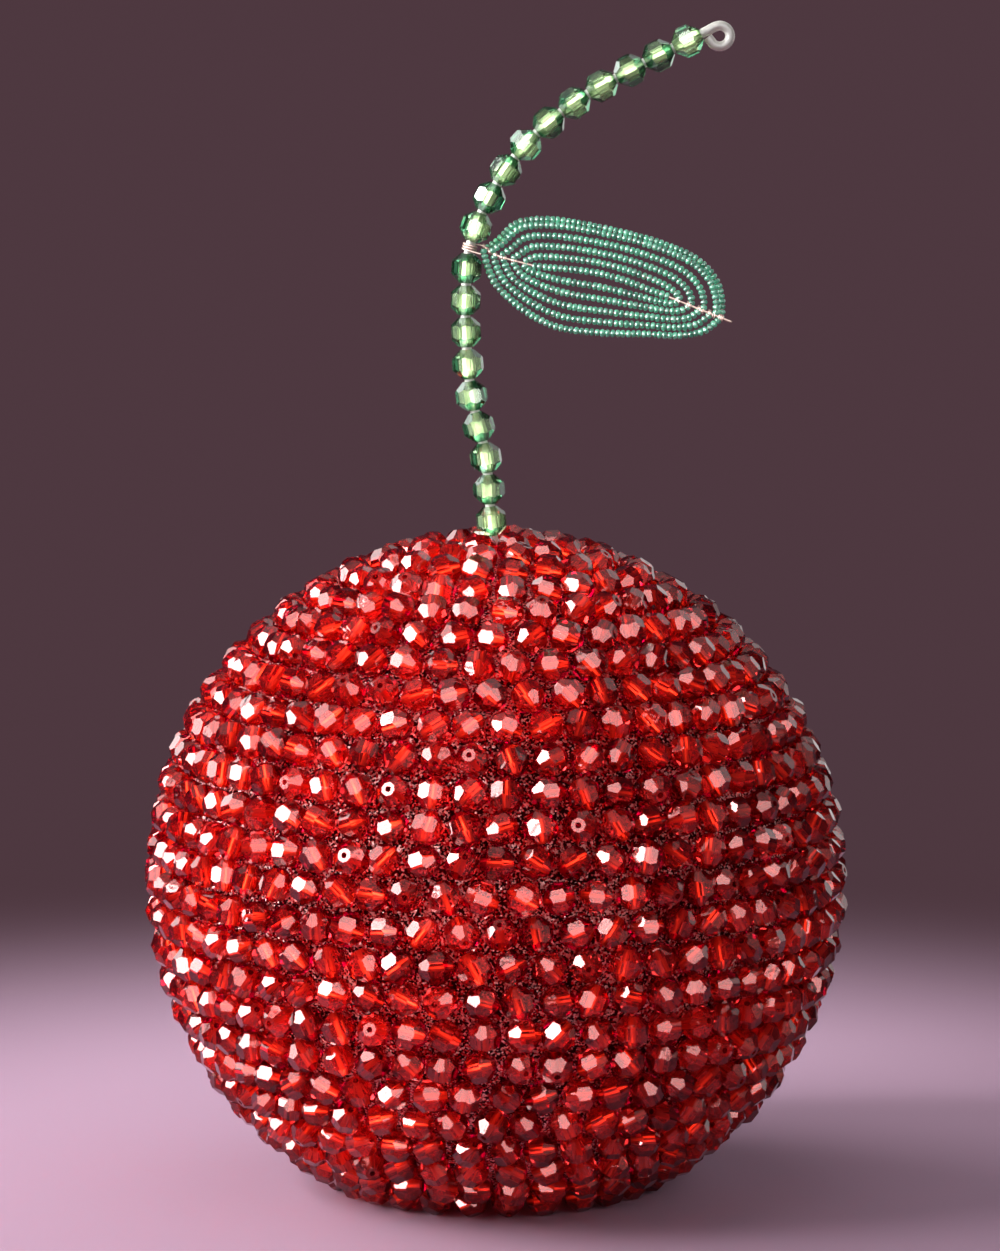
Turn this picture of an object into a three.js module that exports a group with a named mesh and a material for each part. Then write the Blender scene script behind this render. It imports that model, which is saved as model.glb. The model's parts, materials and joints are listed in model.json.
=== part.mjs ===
// A beaded cherry: a foam ball with a flat base and a glitter coat, rows of faceted red beads glued
// round it, a stem of green beads threaded on a bent wire that ends in an eye, and a leaf of seed
// beads strung on fine wire and wrapped round the stem.
// Millimetres, +Z up, the photographed side towards -Y. The origin is the centre of the flat base.
import * as THREE from "three";

// Ball
const coatRadius = 63.5;
const coatThickness = 0.8;
const flatRadius = 17.6;
const clearance = 0.3;

// Red beads, glued side by side in level rows
const beadDiameter = 6;
const beadPitch = 7.5;
const rowPitch = 6.95;
const firstRowRadius = 6.9;
const crownLength = 2.6;
const glueWidth = 2.4;
const glueHeight = 1.4;
const rowStaggerShare = 0.38;

// Stem wire: its bends are sideways and above the coat, up to the last bead
const wireDiameter = 1.6;
const socketDepth = 30;
const stemBends = [
  [0, 0],
  [-0.9, 7.2],
  [-2, 19.9],
  [-4.8, 32.2],
  [-5.9, 45],
  [-5.9, 52],
  [-5.1, 61.1],
  [-1.2, 70.9],
  [5.7, 80.9],
  [15.2, 89],
  [25.8, 95.2],
  [39.9, 102.4],
];
const eyeRadius = 2.1;
const eyeGap = 0.5;

// Stem beads
const stemBeadDiameter = 6;
const stemBeadLength = 5.9;
const stemBeadFace = 2.5;
const stemBeadGap = 0.35;
const stemBeadPlay = 0.4;

// Leaf: its knot sits on the stem at a length measured along the wire from the coat
const knotStation = 61.6;
const leafDroop = THREE.MathUtils.degToRad(16.2);
const leafWireDiameter = 0.45;
const wrapTurns = 1.5;
const wrapGap = 0.41;
const tailLength = 2.4;
const stringDiameter = 1.4;
const stringGap = 0.8;
const knotTuck = 0.9;
const centreRowLength = 26.5;
const centreRowRise = 2.2;
const tipRise = 1.6;
const tipWireOverrun = 1.4;

// The leaf's edges, as [share of the centre row, string pitches forward, string pitches up]
const upperEdge = [
  [0, -4.7, 0],
  [0, -3.7, 1.3],
  [0, -2.5, 3.2],
  [0, 0.2, 4.3],
  [0.43, 0, 4.0],
  [0.85, 0, 4.2],
  [1, 1.8, 3.8],
  [1, 4.0, 2.4],
  [1, 5.0, 0.6],
  [1, 5.2, -0.5],
];
const lowerEdge = [
  [0, -4.7, 0],
  [0, -3.9, -1.3],
  [0, -2.7, -2.6],
  [0, 0.5, -4.1],
  [0.29, 0, -5.3],
  [0.6, 0, -5.1],
  [0.96, 0, -3.7],
  [1, 2.2, -3.0],
  [1, 4.1, -2.0],
  [1, 5.2, -0.5],
];
const upperShares = [0.23, 0.45, 0.67, 0.89, 1];
const lowerShares = [0.22, 0.42, 0.62, 0.81, 1];

// Fineness of the round shapes
const ballSegments = 24;
const ballSteps = 12;
const stemBeadSides = 8;
const wireSides = 8;
const bendSteps = 32;
const eyeSteps = 14;
const stringSides = 6;
const stringStep = 4.4;
const loopSteps = 24;
const leadSteps = 6;
const samples = 200;

const up = new THREE.Vector3(0, 1, 0);
const beadRadius = beadDiameter / 2;
const beadCentreRadius = coatRadius + beadRadius;
const wireRadius = wireDiameter / 2;
const leafWireRadius = leafWireDiameter / 2;
const stringRadius = stringDiameter / 2;
const stringPitch = stringDiameter + stringGap;
const centreHeight = Math.sqrt(coatRadius ** 2 - flatRadius ** 2);

function finish(color, roughness, metalness = 0) {
  return new THREE.MeshStandardMaterial({ color, roughness, metalness });
}

const foam = finish(0xf1ece2, 0.9);
const glitter = finish(0x4a1418, 0.45, 0.4);
const redAcrylic = finish(0xa5100f, 0.12);
const greenAcrylic = finish(0x4e8a55, 0.12);
const stemPaint = finish(0xe7e5dd, 0.4);
const leafMetal = finish(0xd8b09c, 0.35, 0.9);
const seedGlass = finish(0x3aa77f, 0.2);

function named(name, geometry, material) {
  const mesh = new THREE.Mesh(geometry, material);
  mesh.name = name;
  return mesh;
}

function numbered(name, index) {
  return name + "_" + String(index + 1).padStart(2, "0");
}

// A closed profile of [distance from the axis, height], turned round the Z axis.
function turned(profile, segments) {
  const points = profile.map(([out, height]) => new THREE.Vector2(out, height));
  return new THREE.LatheGeometry(points, segments).rotateX(Math.PI / 2);
}

// Points of a sphere's profile, from where it is `topOut` from the axis down to `bottomHeight`.
function ballProfile(radius, topOut, bottomHeight) {
  const from = Math.asin(topOut / radius);
  const to = Math.acos(bottomHeight / radius);
  return Array.from({ length: ballSteps + 1 }, (_, i) => {
    const angle = from + ((to - from) * i) / ballSteps;
    return [radius * Math.sin(angle), radius * Math.cos(angle)];
  });
}

function tube(curve, radius, sides, steps) {
  const corners = Array.from({ length: sides }, (_, i) => {
    const angle = (2 * Math.PI * i) / sides;
    return new THREE.Vector2(radius * Math.cos(angle), radius * Math.sin(angle));
  });
  const section = new THREE.Shape(corners);
  return new THREE.ExtrudeGeometry(section, { steps, extrudePath: curve, bevelEnabled: false });
}

// Ball
const socketRadius = wireRadius + clearance;

function foamCore() {
  const radius = coatRadius - coatThickness - clearance;
  const skin = ballProfile(radius, socketRadius, -centreHeight);
  const socketFloor = coatRadius - socketDepth - clearance;
  const profile = [[0, socketFloor], [socketRadius, socketFloor], ...skin, [0, -centreHeight]];
  return named("foam_core", turned(profile.reverse(), ballSegments), foam);
}

function glitterCoat() {
  const outside = ballProfile(coatRadius, socketRadius, -centreHeight);
  const inside = ballProfile(coatRadius - coatThickness, socketRadius, -centreHeight);
  const profile = [...inside, ...outside.reverse(), inside[0]];
  return named("glitter_coat", turned(profile, ballSegments), glitter);
}

// A row is a closed ring of beads. Each bead has a crown of two corners and a corner on either side,
// and a narrow neck of glue joins it to the next.
function beadRow(index, angle) {
  const ringRadius = beadCentreRadius * Math.sin(angle);
  const count = Math.round((2 * Math.PI * ringRadius) / beadPitch);
  const glueRadius = coatRadius + clearance;
  const crownTurn = crownLength / 2 / (ringRadius + beadRadius);
  const positions = [];
  // A corner by its azimuth, its distance from the ball's centre and how far down from the row it is.
  const corner = (azimuth, radius, down) => {
    const out = radius * Math.sin(angle) + down * Math.cos(angle);
    const height = radius * Math.cos(angle) - down * Math.sin(angle);
    positions.push(out * Math.cos(azimuth), out * Math.sin(azimuth), height);
  };
  const faces = [];
  for (let i = 0; i < count; i++) {
    const centre = (2 * Math.PI * (i + rowStaggerShare * index)) / count;
    const neck = centre - Math.PI / count;
    corner(neck, glueRadius + glueHeight, 0);
    corner(neck, glueRadius, -glueWidth / 2);
    corner(neck, glueRadius, glueWidth / 2);
    corner(centre - crownTurn, beadCentreRadius + beadRadius, 0);
    corner(centre + crownTurn, beadCentreRadius + beadRadius, 0);
    corner(centre, beadCentreRadius, -beadRadius);
    corner(centre, beadCentreRadius, beadRadius);
    const corners = 7;
    const [neckTop, neckUpper, neckLower, crownNear, crownFar, upper, lower] =
      Array.from({ length: corners }, (_, k) => corners * i + k);
    const [nextTop, nextUpper, nextLower] = [0, 1, 2].map((k) => corners * ((i + 1) % count) + k);
    faces.push(
      neckUpper, neckTop, crownNear, neckUpper, crownNear, upper, upper, crownNear, crownFar,
      upper, crownFar, nextUpper, nextUpper, crownFar, nextTop,
      neckTop, neckLower, crownNear, neckLower, lower, crownNear, crownNear, lower, crownFar,
      lower, nextLower, crownFar, crownFar, nextLower, nextTop,
      neckUpper, upper, lower, neckUpper, lower, neckLower,
      upper, nextUpper, nextLower, upper, nextLower, lower,
    );
  }
  const geometry = new THREE.BufferGeometry();
  geometry.setAttribute("position", new THREE.Float32BufferAttribute(positions, 3));
  geometry.setIndex(faces);
  return named(numbered("bead_row", index), geometry, redAcrylic);
}

function beadRows() {
  const first = Math.asin(firstRowRadius / beadCentreRadius);
  const last = Math.acos((beadRadius + clearance - centreHeight) / beadCentreRadius);
  const intervals = Math.round(((last - first) * beadCentreRadius) / rowPitch);
  return Array.from({ length: intervals + 1 }, (_, i) =>
    beadRow(i, first + ((last - first) * i) / intervals),
  );
}

// Stem: straight in the foam, bent above it, then a lead and an eye that curls back to the lead
const bend = new THREE.CatmullRomCurve3(
  stemBends.map(([side, above]) => new THREE.Vector3(side, 0, coatRadius + above)),
);
const bendEnd = bend.getPointAt(1);
const bendHeading = bend.getTangentAt(1);
const eyeLead = eyeRadius + wireRadius + clearance;
const eyeStart = bendEnd.clone().addScaledVector(bendHeading, eyeLead);

class EyeArc extends THREE.Curve {
  getPoint(t, target = new THREE.Vector3()) {
    const closing = Math.acos((eyeRadius - wireRadius - eyeGap) / (eyeRadius + wireRadius));
    const turn = t * (2 * Math.PI - closing);
    const inward = bendHeading.clone().applyAxisAngle(up, Math.PI / 2);
    return target
      .copy(eyeStart)
      .addScaledVector(inward, eyeRadius * (1 - Math.cos(turn)))
      .addScaledVector(bendHeading, eyeRadius * Math.sin(turn));
  }
}

// Curves joined end to end, each with its own number of steps.
class JoinedCurve extends THREE.Curve {
  constructor(pieces) {
    super();
    this.pieces = pieces;
    this.steps = pieces.reduce((sum, piece) => sum + piece.steps, 0);
  }

  getPoint(t, target = new THREE.Vector3()) {
    let step = t * this.steps;
    let i = 0;
    while (i < this.pieces.length - 1 && step > this.pieces[i].steps) {
      step -= this.pieces[i].steps;
      i += 1;
    }
    return this.pieces[i].curve.getPointAt(Math.min(1, step / this.pieces[i].steps), target);
  }

  getUtoTmapping(u) {
    return u;
  }
}

function stemWire() {
  const coatTop = new THREE.Vector3(0, 0, coatRadius);
  const foot = new THREE.Vector3(0, 0, coatRadius - socketDepth);
  const path = new JoinedCurve([
    { curve: new THREE.LineCurve3(foot, coatTop), steps: 1 },
    { curve: bend, steps: bendSteps },
    { curve: new THREE.LineCurve3(bendEnd, eyeStart), steps: 1 },
    { curve: new EyeArc(), steps: eyeSteps },
  ]);
  return named("stem_wire", tube(path, wireRadius, wireSides, path.steps), stemPaint);
}

// A place on the stem, by its length along the wire above the coat.
const bendLength = bend.getLength();

function stemPlace(length) {
  const share = THREE.MathUtils.clamp(length / bendLength, 0, 1);
  return { point: bend.getPointAt(share), heading: bend.getTangentAt(share) };
}

function stemBead(index, length) {
  const bore = wireRadius + stemBeadPlay;
  const half = stemBeadLength / 2;
  const face = stemBeadFace / 2;
  const radius = stemBeadDiameter / 2;
  const profile = [[bore, -half], [radius, -face], [radius, face], [bore, half], [bore, -half]];
  const bead = named(numbered("stem_bead", index), turned(profile, stemBeadSides), greenAcrylic);
  const { point, heading } = stemPlace(length);
  bead.position.copy(point);
  bead.quaternion.setFromUnitVectors(new THREE.Vector3(0, 0, 1), heading);
  return bead;
}

// Beads fill the wire from both sides of the knot, down to the coat and up to the eye.
const wrapPitch = leafWireDiameter + wrapGap;
const wrapHalfHeight = (wrapTurns * wrapPitch + leafWireDiameter) / 2;

function stemBeads() {
  const pitch = stemBeadLength + stemBeadGap;
  const firstOffset = wrapHalfHeight + clearance + stemBeadLength / 2;
  const upperLast = bendLength - stemBeadLength / 2;
  const lowerLast = clearance + stemBeadLength / 2;
  const stations = [];
  for (let at = knotStation + firstOffset; at <= upperLast; at += pitch) stations.unshift(at);
  for (let at = knotStation - firstOffset; at >= lowerLast; at -= pitch) stations.push(at);
  return stations.map((at, index) => stemBead(index, at));
}

// Leaf, in its own frame: the knot at the origin, X along the leaf, Z across it
const knot = stemPlace(knotStation);
const knotReach = stemBeadDiameter / 2 + stringRadius - knotTuck;
const leafStart = knotReach - upperEdge[0][1] * stringPitch;
const centreRow = new THREE.CatmullRomCurve3([
  new THREE.Vector3(leafStart, 0, 0),
  new THREE.Vector3(leafStart + centreRowLength / 2, 0, centreRowRise),
  new THREE.Vector3(leafStart + centreRowLength, 0, tipRise),
]);

function edgeCurve(edge) {
  return new THREE.CatmullRomCurve3(
    edge.map(([share, forward, out]) => {
      const step = new THREE.Vector3(forward * stringPitch, 0, out * stringPitch);
      return centreRow.getPointAt(share).add(step);
    }),
  );
}

// A string lies part of the way from the centre row to an edge, and starts and ends on the wires.
class StringCurve extends THREE.Curve {
  constructor(edge, share, depth) {
    super();
    Object.assign(this, { edge, share, depth, from: 0, to: 1 });
  }

  getPoint(t, target = new THREE.Vector3()) {
    const along = this.from + (this.to - this.from) * t;
    const inner = centreRow.getPointAt((1 - Math.cos(Math.PI * along)) / 2);
    target.copy(inner).lerp(this.edge.getPointAt(along), this.share);
    target.y += this.depth;
    return target;
  }

  // Cuts the string back to where it is clear of the wires that it is strung between.
  cutClearOf(wirePoints) {
    const reach = stringRadius + leafWireRadius + clearance;
    const clear = [];
    for (let i = 0; i <= samples; i++) {
      const point = this.getPoint(i / samples);
      if (wirePoints.every((wire) => wire.distanceTo(point) >= reach)) clear.push(i / samples);
    }
    this.to = clear[clear.length - 1];
    this.from = clear[0];
    return this;
  }
}

// The wire winds round the stem, from the end of its tail, and then holds the centre row.
const stemAxis = knot.heading.clone().applyAxisAngle(up, -leafDroop);
const stemOutward = up.clone().cross(stemAxis);
const windingRadius = wireRadius + clearance + leafWireRadius;
const windingHeight = wrapTurns * wrapPitch;
const tailClimb = (tailLength * wrapPitch) / (2 * Math.PI * windingRadius);

// A place at the knot: how far out from the stem, how far behind it and how far up along it.
function knotPlace(out, back, rise) {
  return new THREE.Vector3().addScaledVector(stemOutward, out).addScaledVector(up, back)
    .addScaledVector(stemAxis, rise);
}

class Winding extends THREE.Curve {
  getPoint(t, target = new THREE.Vector3()) {
    const angle = -Math.PI / 2 - 2 * Math.PI * wrapTurns * t;
    const out = windingRadius * Math.cos(angle);
    const back = windingRadius * Math.sin(angle);
    return target.copy(knotPlace(out, back, windingHeight * (t - 1 / 2)));
  }
}

function leafWireCurve() {
  const winding = new Winding();
  const windingStart = winding.getPoint(0);
  const windingEnd = winding.getPoint(1);
  const tailEnd = knotPlace(tailLength, -windingRadius, -windingHeight / 2 - tailClimb);
  const lead = new THREE.CatmullRomCurve3([
    windingEnd,
    knotPlace(tailLength, windingRadius, windingHeight / 2 + tailClimb),
    new THREE.Vector3(knotReach + stringPitch, 0, 0),
    new THREE.Vector3(leafStart - clearance, 0, 0),
  ]);
  return new JoinedCurve([
    { curve: new THREE.LineCurve3(tailEnd, windingStart), steps: 1 },
    { curve: winding, steps: Math.round(wrapTurns * loopSteps) },
    { curve: lead, steps: leadSteps },
  ]);
}

// The least gap between turns of a wire, at points more than a third of a turn apart along it.
function leastGap(curve, diameter, turnLength) {
  const points = curve.getPoints(samples);
  let travelled = 0;
  const marks = points.map((point, i) => {
    travelled += i ? point.distanceTo(points[i - 1]) : 0;
    return travelled;
  });
  let least = Infinity;
  for (let i = 0; i < points.length; i++) {
    for (let j = i + 1; j < points.length; j++) {
      if (marks[j] - marks[i] < turnLength / 3) continue;
      least = Math.min(least, points[i].distanceTo(points[j]) - diameter);
    }
  }
  return least;
}

function tipWireCurve() {
  const start = centreRow.getPointAt(1);
  const edgeEnd = edgeCurve(upperEdge).getPointAt(1);
  const heading = edgeEnd.clone().sub(start).normalize();
  const end = edgeEnd.clone().addScaledVector(heading, stringRadius + tipWireOverrun);
  return new THREE.LineCurve3(start.addScaledVector(heading, clearance), end);
}

function leafString(name, curve) {
  const steps = Math.ceil(curve.getLength() / stringStep);
  return named(name, tube(curve, stringRadius, stringSides, steps), seedGlass);
}

function leaf() {
  const leafWire = leafWireCurve();
  const tipWire = tipWireCurve();
  const wirePoints = [...leafWire.getPoints(samples), ...tipWire.getPoints(samples)];
  const group = new THREE.Group();
  group.position.copy(knot.point);
  group.rotation.y = leafDroop;
  group.add(
    named("leaf_wire", tube(leafWire, leafWireRadius, stringSides, leafWire.steps), leafMetal),
    named("leaf_tip_wire", tube(tipWire, leafWireRadius, stringSides, 1), leafMetal),
    leafString("leaf_centre_row", centreRow),
  );
  const sides = [
    { name: "leaf_upper_row", edge: edgeCurve(upperEdge), shares: upperShares },
    { name: "leaf_lower_row", edge: edgeCurve(lowerEdge), shares: lowerShares },
  ];
  for (const { name, edge, shares } of sides) {
    shares.forEach((share, index) => {
      // The outermost upper string lies behind the one inside it.
      const behind = edge === sides[0].edge && share === 1;
      const depth = behind ? stringDiameter + 2 * clearance : 0;
      const curve = new StringCurve(edge, share, depth).cutClearOf(wirePoints);
      group.add(leafString(numbered(name, index), curve));
    });
  }
  return group;
}

const cherry = new THREE.Group();
cherry.position.z = centreHeight;
cherry.add(foamCore(), glitterCoat(), ...beadRows(), stemWire(), ...stemBeads(), leaf());

const windingGap = leastGap(leafWireCurve(), leafWireDiameter, 2 * Math.PI * windingRadius);
console.log("leaf_wire: the least gap between its turns is " + windingGap.toFixed(3) + " mm");

const part = new THREE.Group();
part.add(cherry);

export default part;
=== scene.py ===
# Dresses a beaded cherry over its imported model: a glitter-coated foam ball under rows of faceted red
# beads, a stem of green beads threaded on a bent white wire, and a leaf of seed beads on copper wire.
import json
import math
from bisect import bisect_right

import bmesh
import bpy
from bpy.props import FloatProperty, FloatVectorProperty, IntProperty, PointerProperty
from mathutils import Matrix, Vector


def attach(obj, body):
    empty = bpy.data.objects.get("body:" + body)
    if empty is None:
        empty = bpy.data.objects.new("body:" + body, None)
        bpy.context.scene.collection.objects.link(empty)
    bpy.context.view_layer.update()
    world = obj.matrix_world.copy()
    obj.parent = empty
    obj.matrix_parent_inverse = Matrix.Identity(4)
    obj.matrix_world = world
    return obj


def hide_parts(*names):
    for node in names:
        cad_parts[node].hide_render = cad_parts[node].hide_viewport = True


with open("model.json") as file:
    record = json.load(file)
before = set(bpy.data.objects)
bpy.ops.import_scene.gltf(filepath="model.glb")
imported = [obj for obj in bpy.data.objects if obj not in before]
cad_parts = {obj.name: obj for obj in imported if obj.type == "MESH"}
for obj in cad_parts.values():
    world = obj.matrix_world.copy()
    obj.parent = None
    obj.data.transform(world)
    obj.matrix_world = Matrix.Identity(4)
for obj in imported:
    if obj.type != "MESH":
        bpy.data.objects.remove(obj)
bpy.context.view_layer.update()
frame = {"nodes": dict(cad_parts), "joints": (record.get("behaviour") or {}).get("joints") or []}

bl_info = {
    "name": "Beaded Cherry",
    "version": (1, 0, 0),
    "blender": (4, 5, 0),
    "location": "3D View > Sidebar > Cherry",
    "description": "Builds a beaded cherry with its stem and leaf, and the stage it stands on",
    "category": "Add Mesh",
}

RED_ROWS = [name for name in frame["nodes"] if name.startswith("bead_row_")]
LEAF_ROWS = [name for name in frame["nodes"] if name.startswith("leaf_") and "_row" in name]
STEM_JOINTS = [joint for joint in frame["joints"] if joint["child"].startswith("stem_bead_")]

# The stem's bends, in metres sideways and above the coat
STEM_BENDS = [
    (0, 0), (-0.0009, 0.0072), (-0.002, 0.0199), (-0.0048, 0.0322),
    (-0.0059, 0.045), (-0.0059, 0.052), (-0.0051, 0.0611), (-0.0012, 0.0709),
    (0.0057, 0.0809), (0.0152, 0.089), (0.0258, 0.0952), (0.0399, 0.1024),
]

# The leaf's edges, as share of the centre row, string pitches forward and string pitches up
UPPER_EDGE = [
    (0, -4.7, 0), (0, -3.7, 1.3), (0, -2.5, 3.2), (0, 0.2, 4.3), (0.43, 0, 4.0),
    (0.85, 0, 4.2), (1, 1.8, 3.8), (1, 4.0, 2.4), (1, 5.0, 0.6), (1, 5.2, -0.5),
]
LOWER_EDGE = [
    (0, -4.7, 0), (0, -3.9, -1.3), (0, -2.7, -2.6), (0, 0.5, -4.1), (0.29, 0, -5.3),
    (0.6, 0, -5.1), (0.96, 0, -3.7), (1, 2.2, -3.0), (1, 4.1, -2.0), (1, 5.2, -0.5),
]

# Where each string lies between the centre row and the edge
UPPER_SHARES = (0.23, 0.45, 0.67, 0.89, 1)
LOWER_SHARES = (0.22, 0.42, 0.62, 0.81, 1)

# Steps along a curve, or for one turn
ARC_STEPS = 72
TURN_STEPS = 96
STEM_STEPS = 150
EYE_STEPS = 72
WINDING_STEPS = 40
LEAD_STEPS = 40
CENTRE_STEPS = 60
STRING_STEPS = 200
TIP_STEPS = 60

# How far a red bead's middle stands off the coat and off the floor, in radii of the bead
BED_SHARE = 0.97
FLOOR_SHARE = 1.16

# Share of the red beads that lie with their bores along the ball
LYING_SHARE = 0.86

# Points nearer than this, in metres, become one
WELD = 1e-6

# The camera's focal length and the height of its picture in pixels, and its sensor in mm
FOCAL_PIXELS = 4543
PICTURE_HEIGHT = 1251
SENSOR_SIZE = 36

# The lamps' places, widths and heights in metres, and what they face
LAMP_AIM = (0, 0, 0.09)
LAMPS = {
    "key": ((-0.9, -0.2, 0.66), 0.7, 0.7),
    "strip": ((-0.95, 0.0, 0.5), 0.12, 0.8),
    "card": ((-0.9, -0.45, 0.4), 0.8, 0.8),
    "wide card": ((-0.5, -0.85, 0.6), 0.9, 0.9),
    "front card": ((0.4, -1.0, 0.5), 0.8, 0.8),
    "fill": ((0.95, -0.75, 0.55), 1.2, 1.2),
    "top": ((-0.1, 0.1, 1.1), 1.0, 1.0),
    "back": ((-0.75, 0.5, 0.55), 0.5, 0.5),
    "far": ((0.75, 0.85, 0.55), 1.2, 1.2),
}


def plain(name, description, default, **more):
    """A number that a user may change."""
    return FloatProperty(name=name, description=description, default=default, min=0, **more)


def whole(name, description, default, least=0):
    """A whole number that a user may change."""
    return IntProperty(name=name, description=description, default=default, min=least)


def size(name, description, default):
    """A length in metres."""
    return plain(name, description, default, unit="LENGTH", precision=5)


def slope(name, description, degrees):
    """An angle, given here in degrees."""
    return plain(name, description, math.radians(degrees), subtype="ANGLE")


def power(name, which, default):
    """The power of a lamp."""
    return plain(name, "Power of the lamp " + which, default, unit="POWER")


def colour(name, description, default):
    """A colour that a user may change."""
    return FloatVectorProperty(
        name=name, description=description, default=default, subtype="COLOR", size=3, min=0, max=1
    )


class CherryBall(bpy.types.PropertyGroup):
    """The ball and its coat."""

    coat_radius: size("Coat radius", "Radius of the ball over its glitter coat", 0.0635)
    coat_thickness: size("Coat thickness", "Thickness of the glue and glitter", 0.0008)
    flat_radius: size("Flat radius", "Radius of the flat underside", 0.0176)
    hole_radius: size("Hole radius", "Radius of the hole that the stem goes into", 0.0011)
    hole_depth: size("Hole depth", "Depth of the hole under the coat", 0.0303)
    grain: size("Glitter grain", "Size of one grain of glitter", 0.00036)
    foam: colour("Foam", "Colour of the foam", (0.86, 0.83, 0.76))
    # Dark grains: their own dark colour with painted shade. Bright grains: painted glints.
    glitter_dark_and_shade: colour("Dark glitter", "Grains turned away from the light", (0.025, 0.001, 0.003))
    glitter_red: colour("Red glitter", "Grains seen through the glue", (0.5, 0.012, 0.03))
    glitter_painted_glint: colour("Bright glitter", "Grains that catch the light", (1.0, 0.72, 0.7))


class CherryBeads(bpy.types.PropertyGroup):
    """The red beads that cover the ball."""

    diameter: size("Diameter", "Width of a bead over opposite facets", 0.00592)
    bead_length: size("Length", "Length of a bead along its bore", 0.0062)
    bore: size("Bore", "Diameter of a bead's bore", 0.00115)
    pitch: size("Pitch", "Distance between beads along a row", 0.00705)
    top_ring: size("Top ring", "Radius of the ring of beads round the stem", 0.0066)
    rows: whole("Rows", "Rows of beads from the stem to the base", 25, least=2)
    crowding: plain("Crowding", "How much closer rows are at the middle", 0.08)
    stagger: plain("Stagger", "Share of a bead that each row is shifted by", 0.38)
    along_slip: size("Slip along", "How far a bead strays along its row", 0.00042)
    across_slip: size("Slip across", "How far a bead strays across its row", 0.0002)
    unevenness: plain("Unevenness", "Share by which beads differ in size", 0.045)
    seed: whole("Seed", "Which scatter of the beads is used", 7)
    # Facets seen aslant are darkened towards the shade colour as painted rim shade.
    shade: colour("Shade", "Colour of the darkest beads", (0.15, 0.0, 0.005))
    bright: colour("Bright", "Colour of the brightest beads", (1.0, 0.045, 0.038))


class CherryStem(bpy.types.PropertyGroup):
    """The stem wire and its beads."""

    wire_diameter: size("Wire diameter", "Thickness of the coated wire", 0.0019)
    foot: size("Foot", "Depth of the wire's foot in the ball", 0.03)
    eye_radius: size("Eye radius", "Radius of the eye to the wire's middle", 0.002)
    eye_lead: size("Eye lead", "Wire between the last bead and the eye", 0.003)
    bead_diameter: size("Bead diameter", "Width of a bead over opposite facets", 0.00575)
    bead_length: size("Bead length", "Length of a bead along the wire", 0.0058)
    bore: size("Bore", "Diameter of a bead's bore", 0.0021)
    seed: whole("Seed", "Which turn of the beads is used", 3)
    coating: colour("Coating", "Colour of the wire's coating", (0.88, 0.85, 0.78))
    glass: colour("Bead", "Colour of the clear green beads", (0.75, 1.0, 0.6))
    # Facets seen aslant are darkened towards the dark bead colour as painted rim shade.
    glass_dark: colour("Dark bead", "Colour in the beads' darker places", (0.006, 0.065, 0.028))


class CherryLeaf(bpy.types.PropertyGroup):
    """The leaf's strings of seed beads and their wires."""

    knot_station: size("Knot", "Length along the stem from the coat to the knot", 0.0616)
    droop: slope("Droop", "Fall of the leaf below level", 16.2)
    string_diameter: size("String diameter", "Thickness of a string in the packed model", 0.0014)
    string_gap: size("String gap", "Gap between strings", 0.0008)
    knot_reach: size("Knot reach", "From the knot's middle to the start of the strings", 0.0028)
    centre_length: size("Centre row", "Length of the centre row", 0.0265)
    centre_rise: size("Centre rise", "Rise of the middle of the centre row", 0.0022)
    tip_rise: size("Tip rise", "Rise of the end of the centre row", 0.0016)
    clearance: size("Clearance", "Gap between strings and wires", 0.0003)
    bead_diameter: size("Bead diameter", "Width of a seed bead", 0.00152)
    bead_length: size("Bead length", "Length of a seed bead", 0.00098)
    bead_pitch: size("Bead pitch", "Distance between seed beads on a string", 0.00102)
    bead_bore: size("Bead bore", "Diameter of a seed bead's bore", 0.0005)
    wire_diameter: size("Wire diameter", "Thickness of the leaf's main wire", 0.00045)
    thread_diameter: size("Thread diameter", "Thickness of the strings' wire", 0.0003)
    turns: plain("Turns", "Turns of wire at the knot", 2.5)
    turn_pitch: size("Turn pitch", "Distance between turns at the knot", 0.0005)
    overrun: size("Overrun", "How far the folded wire stands past the tip", 0.0014)
    seed: whole("Seed", "Which mix of the seed beads is used", 11)
    deep: colour("Deep green", "Colour of the darkest seed beads", (0.004, 0.13, 0.08))
    mint: colour("Mint", "Colour of the palest seed beads", (0.27, 0.97, 0.66))
    copper: colour("Wire", "Colour of the leaf's wire", (0.45, 0.33, 0.29))


class CherryStage(bpy.types.PropertyGroup):
    """The floor, the lights and the camera."""

    floor: colour("Floor", "Colour of the floor", (0.57, 0.37, 0.505))
    glow: colour("Backdrop", "Colour that the floor fades to", (0.076, 0.04, 0.051))
    # The floor's painted pool of light fades out between these two distances.
    fade_start: size("Fade start", "Where the floor starts to darken", 0.11)
    fade_end: size("Fade end", "Where the floor is as dark as the backdrop", 0.38)
    key_power: power("Key", "at the upper left", 10.5)
    strip_power: power("Strip", "that is narrow, at the left", 4)
    fill_power: power("Fill", "at the right", 3.5)
    top_power: power("Top", "above", 2.5)
    back_power: power("Back", "behind at the left", 4)
    far_power: power("Far", "behind at the right", 4)
    card_power: power("Card", "that beads mirror as white facets", 70)
    wide_card_power: power("Wide card", "that beads mirror as pink facets", 24)
    front_card_power: power("Front card", "that facets turned to the front mirror", 15)
    ambient: plain("Ambient", "Light from all round", 0.03)
    camera_height: size("Camera height", "Height of the camera", 0.2179)
    camera_distance: size("Camera distance", "Distance of the camera in front", 0.8898)
    camera_side: size("Camera side", "How far right the camera stands", 0.0008)
    camera_tilt: slope("Camera tilt", "How far the camera looks down", 6.84)
    focal_length: plain(
        "Focal length", "Focal length over the picture's long side, in mm",
        FOCAL_PIXELS / PICTURE_HEIGHT * SENSOR_SIZE,
    )


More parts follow.
